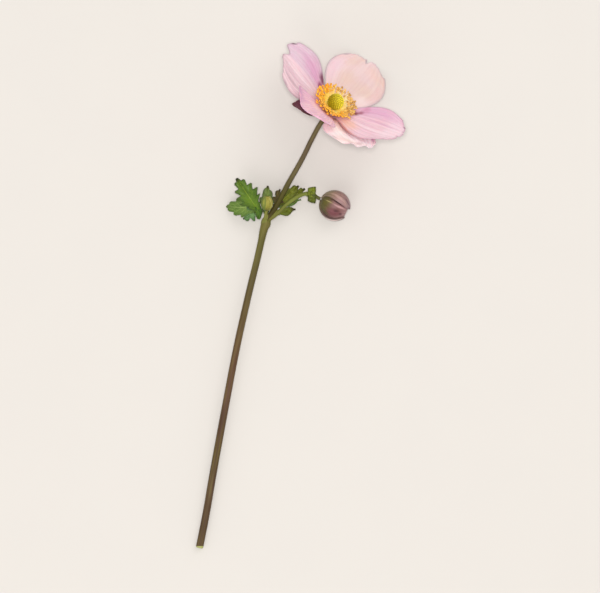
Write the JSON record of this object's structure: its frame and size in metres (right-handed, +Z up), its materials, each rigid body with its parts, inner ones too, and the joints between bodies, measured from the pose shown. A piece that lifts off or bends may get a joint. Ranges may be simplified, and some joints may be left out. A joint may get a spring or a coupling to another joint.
{
  "type": "japanese anemone flower stem",
  "caption": "Cut Japanese anemone stem lying on its side: open pink cupped bloom with a golden stamen ring, a side bud and a small leaf whorl on a long thin stem.",
  "frame": {"origin": "on the surface that the stem lies on, below the middle of the part's box", "axes": "+Y from the cut end of the stem towards the bloom, +Z up from the surface, +X to the right seen from above"},
  "size_m": [0.0962, 0.2329, 0.0507],
  "materials": {
    "stem": "fine-haired green stem tinged purple-brown, matt",
    "petal": "soft satin petal, pale pink with deeper pink veins",
    "outer_petal": "matt dark maroon outer petal",
    "stamen": "powdery golden yellow",
    "carpel": "matt yellow-green, finely bumpy",
    "bud": "silky mauve-brown with fine lengthwise hairs",
    "small_bud": "silky yellow-green",
    "leaf": "semi-matt green leaf with paler veins"
  },
  "bodies": {
    "root": {"stem": "stem", "petal_far": "petal", "petal_right": "petal", "petal_low": "petal", "petal_near": "petal", "petal_left": "petal", "petal_outer": "outer_petal", "stamens": "stamen", "carpel_head": "carpel", "bud": "bud", "small_bud": "small_bud", "leaf_left": "leaf", "leaf_right": "leaf", "leaf_low": "leaf", "leaf_top": "leaf", "bracts": "leaf"}
  },
  "joints": []
}
